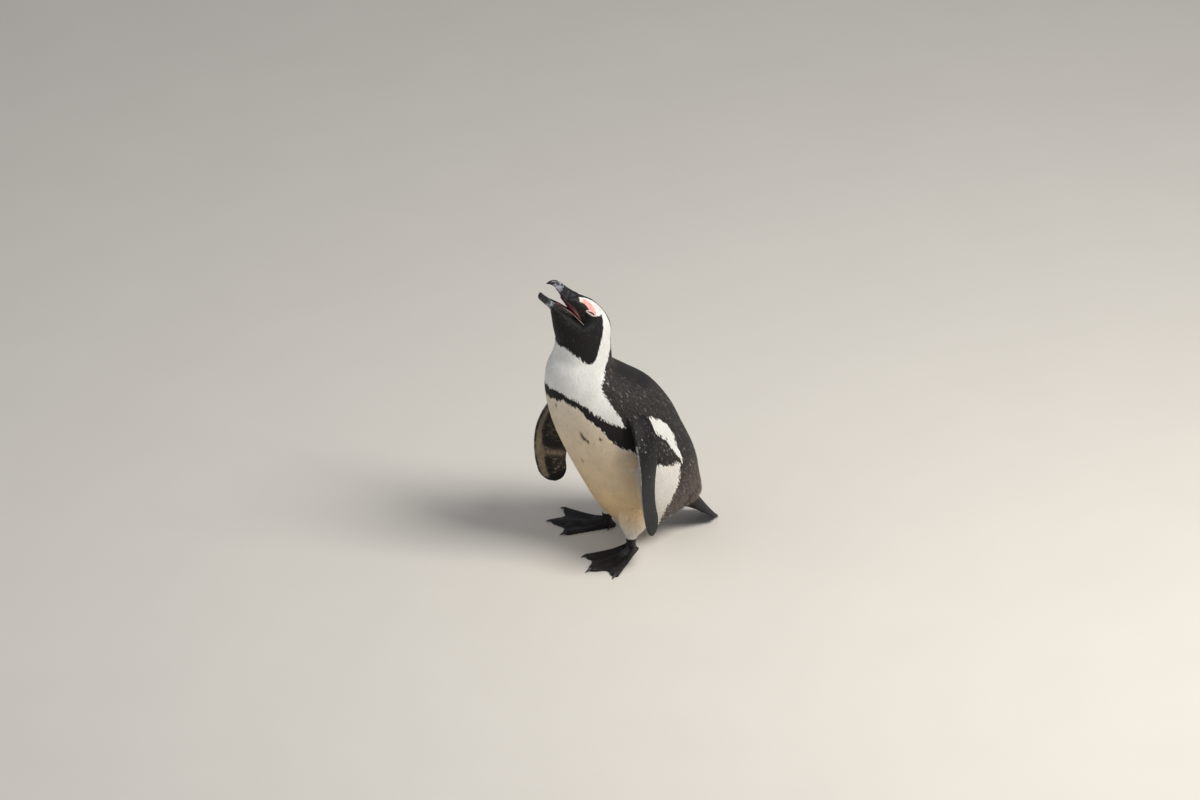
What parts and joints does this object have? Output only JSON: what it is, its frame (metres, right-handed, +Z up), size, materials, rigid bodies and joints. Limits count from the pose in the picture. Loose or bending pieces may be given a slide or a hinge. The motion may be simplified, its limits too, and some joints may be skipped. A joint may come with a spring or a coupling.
{
  "type": "african penguin model",
  "caption": "Life-size standing penguin, head thrown up with the bill open, flippers hanging clear of the body, short tail propped on the floor.",
  "frame": {"origin": "middle of the whole bird's box, on the floor it stands on", "axes": "+Z up, the bird faces -Y, its left side towards +X"},
  "size_m": [0.2526, 0.3036, 0.4792],
  "materials": {
    "white_plumage": "dense matte white feathers, warm below",
    "dark_plumage": "brown-black feathers with pale worn tips",
    "bill_horn": "black horn with a pale grey band",
    "mouth_lining": "moist dark pink",
    "eye": "wet dark brown",
    "foot_skin": "scaly black skin with pale blotches",
    "claw_horn": "worn dark horn"
  },
  "bodies": {
    "root": {"bill_lower": "bill_horn", "bill_upper": "bill_horn", "claw_left_hallux": "claw_horn", "claw_left_inner": "claw_horn", "claw_left_middle": "claw_horn", "claw_left_outer": "claw_horn", "claw_right_hallux": "claw_horn", "claw_right_inner": "claw_horn", "claw_right_middle": "claw_horn", "claw_right_outer": "claw_horn", "eye_left": "eye", "eye_right": "eye", "flipper_left": "dark_plumage", "flipper_right": "dark_plumage", "foot_left": "foot_skin", "foot_right": "foot_skin", "head": "dark_plumage", "leg_left": "white_plumage", "leg_right": "white_plumage", "neck": "white_plumage", "tail": "dark_plumage", "tongue": "mouth_lining", "trunk": "white_plumage"}
  },
  "joints": []
}
